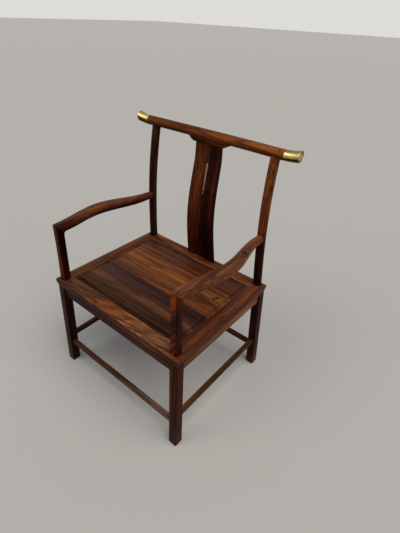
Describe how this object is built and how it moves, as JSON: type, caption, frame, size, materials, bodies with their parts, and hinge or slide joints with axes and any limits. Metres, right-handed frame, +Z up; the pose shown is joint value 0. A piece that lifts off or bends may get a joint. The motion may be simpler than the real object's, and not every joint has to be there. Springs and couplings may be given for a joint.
{
  "type": "official hat armchair",
  "caption": "Wooden armchair with a mitred frame-and-panel seat, splayed square legs, bowed arms, S-curved splat and a round overhanging crest rail with brass ends.",
  "frame": {"origin": "on the floor, in the middle of the chair's footprint", "axes": "+Z up, the front of the chair faces -Y, +X to the right of someone facing that front"},
  "size_m": [0.711, 0.5516, 0.9664],
  "materials": {
    "leg_rosewood": "satin lacquer",
    "arm_rosewood": "satin lacquer",
    "crest_rosewood": "satin lacquer",
    "splat_rosewood": "satin lacquer",
    "rail_rosewood": "satin lacquer",
    "side_rail_rosewood": "satin lacquer",
    "board_rosewood": "satin lacquer",
    "batten_rosewood": "satin lacquer",
    "apron_rosewood": "satin lacquer",
    "stretcher_rosewood": "satin lacquer",
    "cap_brass": "polished",
    "inlay_brass": "satin"
  },
  "bodies": {
    "root": {"front_leg_left": "leg_rosewood", "front_leg_right": "leg_rosewood", "rear_leg_left": "leg_rosewood", "rear_leg_right": "leg_rosewood", "arm_left": "arm_rosewood", "arm_right": "arm_rosewood", "crest_rail": "crest_rosewood", "crest_cap_left": "cap_brass", "crest_cap_right": "cap_brass", "back_splat": "splat_rosewood", "splat_inlay_bar": "inlay_brass", "splat_inlay_dot": "inlay_brass", "seat_rail_front": "rail_rosewood", "seat_rail_rear": "rail_rosewood", "seat_rail_left": "side_rail_rosewood", "seat_rail_right": "side_rail_rosewood", "seat_board_front": "board_rosewood", "seat_board_mid_front": "board_rosewood", "seat_board_mid_rear": "board_rosewood", "seat_board_rear": "board_rosewood", "seat_batten_left": "batten_rosewood", "seat_batten_right": "batten_rosewood", "apron_front": "apron_rosewood", "apron_rear": "apron_rosewood", "apron_left": "apron_rosewood", "apron_right": "apron_rosewood", "stretcher_front": "stretcher_rosewood", "stretcher_rear": "stretcher_rosewood", "stretcher_left": "stretcher_rosewood", "stretcher_right": "stretcher_rosewood"}
  },
  "joints": []
}
